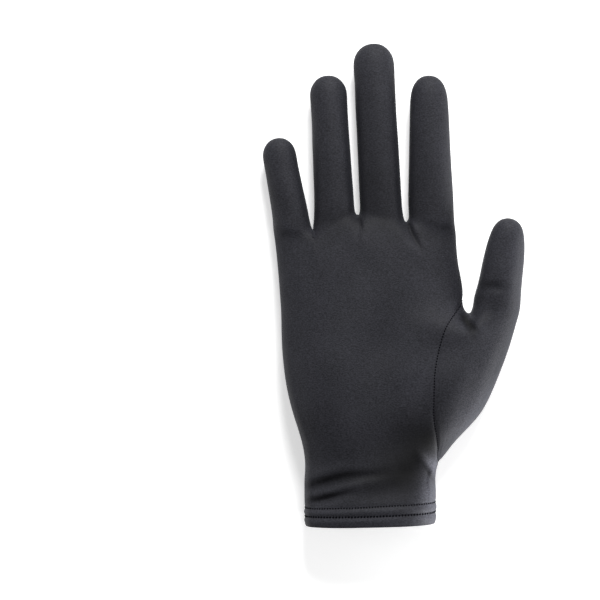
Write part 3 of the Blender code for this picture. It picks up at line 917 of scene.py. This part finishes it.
def knit_material(name):
    """A fine stretch knit: heathered yarn in short cross streaks, a soft sheen and a fine grain."""
    material = bpy.data.materials.new(name)
    material.use_nodes = True
    tree = material.node_tree
    link = tree.links.new
    shader = tree.nodes["Principled BSDF"]
    shader.inputs["Roughness"].default_value = 0.62
    shader.inputs["Specular IOR Level"].default_value = 0.11
    shader.inputs["Sheen Weight"].default_value = 0.105
    shader.inputs["Sheen Roughness"].default_value = 0.30
    shader.inputs["Sheen Tint"].default_value = (0.78, 0.82, 0.92, 1.0)
    coordinates = node(tree, "ShaderNodeTexCoord")

    streaks = node(tree, "ShaderNodeMapping", {"Scale": (0.55, 1.0, 0.8)})
    link(coordinates.outputs["Object"], streaks.inputs["Vector"])
    yarn = node(tree, "ShaderNodeTexNoise", {"Scale": 2100.0, "Detail": 2.0, "Roughness": 0.5})
    link(streaks.outputs["Vector"], yarn.inputs["Vector"])
    mottle = node(tree, "ShaderNodeTexNoise", {"Scale": 60.0, "Detail": 3.0, "Roughness": 0.55})
    link(coordinates.outputs["Object"], mottle.inputs["Vector"])
    loops = node(tree, "ShaderNodeTexVoronoi", {"Scale": 1900.0, "Randomness": 0.75})
    link(coordinates.outputs["Object"], loops.inputs["Vector"])

    both = node(tree, "ShaderNodeMath", {1: 0.22}, operation="MULTIPLY_ADD")
    link(mottle.outputs["Fac"], both.inputs[0])
    link(yarn.outputs["Fac"], both.inputs[2])
    ramp = ramp_between(tree, DARK_YARN, LIGHT_YARN, *YARN_RANGE)
    link(both.outputs["Value"], ramp.inputs["Fac"])
    # The base colour is scaled by the attribute of painted light and shade, on top of the yarn's
    # own mottle.
    tone = node(tree, "ShaderNodeAttribute", attribute_name="tone")
    shaded = node(tree, "ShaderNodeVectorMath", operation="SCALE")
    link(ramp.outputs["Color"], shaded.inputs[0])
    link(tone.outputs["Fac"], shaded.inputs["Scale"])
    link(shaded.outputs["Vector"], shader.inputs["Base Color"])

    height = node(tree, "ShaderNodeMath", {1: 0.5}, operation="MULTIPLY_ADD")
    link(loops.outputs["Distance"], height.inputs[0])
    link(yarn.outputs["Fac"], height.inputs[2])
    bump = node(tree, "ShaderNodeBump", {"Strength": 0.35, "Distance": 0.00025})
    link(height.outputs["Value"], bump.inputs["Height"])
    link(bump.outputs["Normal"], shader.inputs["Normal"])
    return material


def thread_material():
    material = bpy.data.materials.new("dark_thread")
    material.use_nodes = True
    tree = material.node_tree
    shader = tree.nodes["Principled BSDF"]
    shader.inputs["Roughness"].default_value = 0.9
    shader.inputs["Specular IOR Level"].default_value = 0.04
    coordinates = node(tree, "ShaderNodeTexCoord")
    twist = node(tree, "ShaderNodeTexNoise", {"Scale": 4000.0, "Detail": 2.0})
    tree.links.new(coordinates.outputs["Object"], twist.inputs["Vector"])
    # The thread's near black: partly its own colour, partly painted shade of its needle holes.
    ramp = ramp_between(tree, DARK_THREAD_WITH_HOLE_SHADE, LIGHT_THREAD_WITH_HOLE_SHADE)
    tree.links.new(twist.outputs["Fac"], ramp.inputs["Fac"])
    tree.links.new(ramp.outputs["Color"], shader.inputs["Base Color"])
    return material


def floor_material():
    material = bpy.data.materials.new("pale_floor")
    material.use_nodes = True
    shader = material.node_tree.nodes["Principled BSDF"]
    shader.inputs["Base Color"].default_value = (0.90, 0.90, 0.90, 1.0)
    shader.inputs["Roughness"].default_value = 0.9
    shader.inputs["Specular IOR Level"].default_value = 0.0
    shader.inputs["Emission Color"].default_value = (1.0, 1.0, 1.0, 1.0)
    shader.inputs["Emission Strength"].default_value = 0.45
    return material


# The stage, in metres and watts. The frame of the picture is 298 mm wide at the glove's middle.
FLOOR_HALF = 3.0
FLOOR_HEIGHT = -0.0002
CAMERA_PLACE = (-0.0465, -0.00835, 1.013)
CAMERA_LENS = 120.7
WORLD_STRENGTH = 0.26
Lamp = namedtuple("Lamp", "name place aim size power")
LAMPS = (
    Lamp("key", (0.15, 0.95, 0.75), (0, 0, 0), 0.5, 23.0),
    Lamp("right_rim", (0.62, -0.12, 0.06), (0.02, -0.03, 0.01), 0.20, 5.2),
    Lamp("low_rim", (0.15, -0.19, 0.022), (0.02, -0.10, 0.012), 0.03, 0.40),
    Lamp("left_rim", (-0.65, 0.0, 0.22), (-0.02, 0, 0.01), 0.35, 1.0),
)


def add_floor():
    data = bpy.data.meshes.new("floor")
    outline = ((-1, -1), (1, -1), (1, 1), (-1, 1))
    corners = [(x * FLOOR_HALF, y * FLOOR_HALF, FLOOR_HEIGHT) for x, y in outline]
    data.from_pydata(corners, [], [(0, 1, 2, 3)])
    data.materials.append(floor_material())
    floor = bpy.data.objects.new("floor", data)
    bpy.context.scene.collection.objects.link(floor)


def add_light(lamp):
    data = bpy.data.lights.new(lamp.name, "AREA")
    data.shape = "DISK"
    data.size = lamp.size
    data.energy = lamp.power
    light = bpy.data.objects.new(lamp.name, data)
    light.location = lamp.place
    ray = Vector(lamp.aim) - Vector(lamp.place)
    light.rotation_euler = ray.to_track_quat("-Z", "Y").to_euler()
    light.visible_camera = False
    bpy.context.scene.collection.objects.link(light)


def add_camera():
    """The camera looks straight down."""
    data = bpy.data.cameras.new("camera")
    data.sensor_width = 36.0
    data.lens = CAMERA_LENS
    data.clip_end = 20.0
    camera = bpy.data.objects.new("camera", data)
    camera.location = CAMERA_PLACE
    bpy.context.scene.collection.objects.link(camera)
    bpy.context.scene.camera = camera


def light_scene():
    world = bpy.data.worlds.new("studio")
    world.use_nodes = True
    background = world.node_tree.nodes["Background"]
    background.inputs["Color"].default_value = (1.0, 1.0, 1.0, 1.0)
    background.inputs["Strength"].default_value = WORLD_STRENGTH
    bpy.context.scene.world = world
    bpy.context.scene.view_settings.view_transform = "Standard"
    for lamp in LAMPS:
        add_light(lamp)


form = smooth_form(build_cage())
fold_cloth(form)
middle = centre_form(form)
shape_cloth(form)
rough_tree = surface_tree(form)
thumb_lines = [seam_line(form, PALM, THUMB, 1), seam_line(form, BACK, THUMB, -1)]
high_line = hem_line(rough_tree, 0.0, middle)
low_line = hem_line(rough_tree, HEM_ROWS[0].down, middle)
sink_seams(form, thumb_lines + [high_line, low_line])
fine_tree = surface_tree(form)
# The painted light and shade of the cloth at each point of the form.
painted_shading = painted_light_and_shade(form)

for number, panel in enumerate(PANELS):
    piece = build_panel(form, painted_shading, number)
    piece.data.materials.append(knit_material(panel.piece + "_knit"))
    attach(piece, "root")
    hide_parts(panel.name)

thread = thread_material()
rows = (
    (THUMB_STITCHING, [(line, False) for line in thumb_lines], "thumb_knit"),
    (HIGH_STITCHING, [(high_line, True)], "hem_knit"),
    (LOW_STITCHING, [(low_line, True)], "hem_knit"),
)
for stitching, lines, slot in rows:
    piece = add_stitches(stitching, lines, fine_tree, thread)
    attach(piece, "root")

add_floor()
light_scene()
add_camera()
